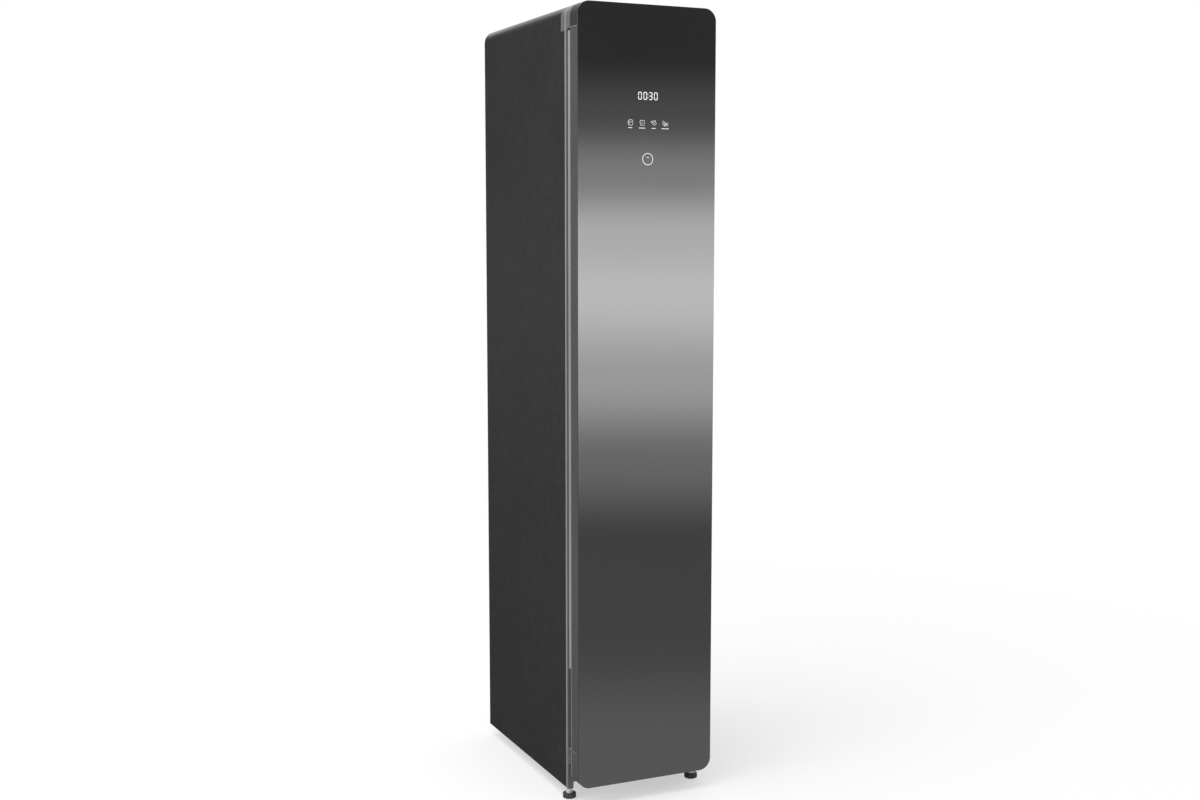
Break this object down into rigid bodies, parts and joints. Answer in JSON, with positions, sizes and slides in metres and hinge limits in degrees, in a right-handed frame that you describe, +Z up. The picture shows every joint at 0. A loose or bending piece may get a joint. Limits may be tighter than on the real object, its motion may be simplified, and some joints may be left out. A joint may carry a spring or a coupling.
{
  "type": "clothes care steam cabinet",
  "caption": "Tall narrow steam cabinet for clothes, with a full-height dark glass door hinged on the left, a hanging chamber, water tanks, levelling feet and rear rollers.",
  "frame": {"origin": "on the floor, under the middle of the cabinet's box", "axes": "+Z up, +X to the right seen from the front, the door faces -Y"},
  "size_m": [0.3586, 0.595, 1.85],
  "materials": {
    "glass": "dark tinted mirror glass, polished",
    "door_trim": "satin dark grey anodised",
    "door_caps": "satin dark grey moulding",
    "foam": "rigid foam",
    "liner": "smooth light grey moulding",
    "seal": "soft light grey",
    "circuit": "green circuit board",
    "bush": "natural acetal",
    "hinge_steel": "satin grey",
    "bright_steel": "zinc plated",
    "frame_plastic": "satin mid grey moulding",
    "panel_paint": "fine satin dark grey paint",
    "zinc": "galvanised sheet",
    "black_plastic": "fine grained black moulding",
    "lamp_lens": "opal lens",
    "steam_steel": "brushed stainless",
    "motor_steel": "grey enamel",
    "heater_fins": "thin fins",
    "hose_rubber": "translucent silicone",
    "grey_plastic": "satin grey moulding",
    "tank_plastic": "smoky clear moulding",
    "lid_plastic": "dark grey moulding"
  },
  "bodies": {
    "cabinet": {"top_hinge": "hinge_steel", "bottom_hinge": "hinge_steel", "hinge_pins": "bright_steel", "hinge_cover": "frame_plastic", "front_frame": "frame_plastic", "left_side_panel": "panel_paint", "right_side_panel": "panel_paint", "top_cover": "panel_paint", "back_panel": "zinc", "power_inlet": "black_plastic", "base_plate": "zinc", "insulation_panels": "foam", "chamber_left_wall": "liner", "chamber_right_wall": "liner", "chamber_rear_wall": "liner", "chamber_ceiling": "liner", "chamber_floor": "liner", "chamber_lamp": "lamp_lens", "shelf_supports": "bush", "steam_nozzle": "steam_steel", "carriage_rails": "bright_steel", "motor_bridge": "zinc", "drive_motor": "motor_steel", "tank_bay": "liner", "water_pumps": "black_plastic", "fan_housing": "black_plastic", "fan_motor": "motor_steel", "air_heater": "heater_fins", "air_duct": "black_plastic", "steam_boiler": "steam_steel", "steam_hose": "hose_rubber", "control_box": "black_plastic", "foot_lock_nuts": "bright_steel", "roller_brackets": "zinc", "pan_head_screws": "bright_steel"},
    "door": {"door_glass": "glass", "door_left_profile": "door_trim", "door_right_profile": "door_trim", "door_top_cap": "door_caps", "door_bottom_cap": "door_caps", "door_core": "foam", "door_liner": "liner", "door_gasket": "seal", "display_board": "circuit", "hinge_bushes": "bush"},
    "hanger_carriage": {"hanger_carriage": "bush", "hanger_bar": "steam_steel", "garment_hangers": "grey_plastic"},
    "drive_pinion": {"drive_pinion": "bush"},
    "shelf": {"shelf": "grey_plastic"},
    "lint_filter": {"lint_filter": "grey_plastic"},
    "fan_rotor": {"fan_rotor": "black_plastic"},
    "supply_tank": {"supply_tank": "tank_plastic", "supply_tank_lid": "lid_plastic"},
    "drain_tank": {"drain_tank": "tank_plastic", "drain_tank_lid": "lid_plastic"},
    "left_front_foot": {"left_front_foot": "black_plastic"},
    "right_front_foot": {"right_front_foot": "black_plastic"},
    "left_rear_roller": {"left_rear_roller": "black_plastic"},
    "right_rear_roller": {"right_rear_roller": "black_plastic"}
  },
  "joints": [
    {"name": "door_hinge", "type": "hinge", "parent": "cabinet", "child": "door", "pos_m": [-0.165, -0.2755, 0.9], "axis": [0, 0, -1], "range_deg": [0, 110]},
    {"name": "supply_tank_slide", "type": "slide", "parent": "cabinet", "child": "supply_tank", "axis": [0, -1, 0], "range_m": [0, 0.078]},
    {"name": "drain_tank_slide", "type": "slide", "parent": "cabinet", "child": "drain_tank", "axis": [0, -1, 0], "range_m": [0, 0.078]},
    {"name": "hanger_slide", "type": "slide", "parent": "cabinet", "child": "hanger_carriage", "axis": [1, 0, 0], "range_m": [-0.02, 0.02]},
    {"name": "pinion_spin", "type": "hinge", "parent": "cabinet", "child": "drive_pinion", "pos_m": [0, 0.0245, 1.762], "axis": [0, 0, 1], "range_deg": [-96, 96]},
    {"name": "shelf_lift", "type": "slide", "parent": "cabinet", "child": "shelf", "axis": [0, 0, 1], "range_m": [0, 0.1]},
    {"name": "filter_lift", "type": "slide", "parent": "cabinet", "child": "lint_filter", "axis": [0, 0, 1], "range_m": [0, 0.07]},
    {"name": "fan_spin", "type": "hinge", "parent": "cabinet", "child": "fan_rotor", "pos_m": [0.04, 0.0475, 0.13], "axis": [0, 0, 1], "continuous": true},
    {"name": "left_foot_turn", "type": "hinge", "parent": "cabinet", "child": "left_front_foot", "pos_m": [-0.163, -0.2175, 0.03], "axis": [0, 0, 1], "continuous": true},
    {"name": "right_foot_turn", "type": "hinge", "parent": "cabinet", "child": "right_front_foot", "pos_m": [0.163, -0.2175, 0.03], "axis": [0, 0, 1], "continuous": true},
    {"name": "left_roller_spin", "type": "hinge", "parent": "cabinet", "child": "left_rear_roller", "pos_m": [-0.12, 0.2425, 0.018], "axis": [1, 0, 0], "continuous": true},
    {"name": "right_roller_spin", "type": "hinge", "parent": "cabinet", "child": "right_rear_roller", "pos_m": [0.12, 0.2425, 0.018], "axis": [1, 0, 0], "continuous": true}
  ],
  "couplings": [
    {"joint": "supply_tank_slide", "follows": "door_hinge", "m_per_rad": 0.04},
    {"joint": "drain_tank_slide", "follows": "door_hinge", "m_per_rad": 0.04},
    {"joint": "pinion_spin", "follows": "hanger_slide", "rad_per_m": 83.333}
  ]
}
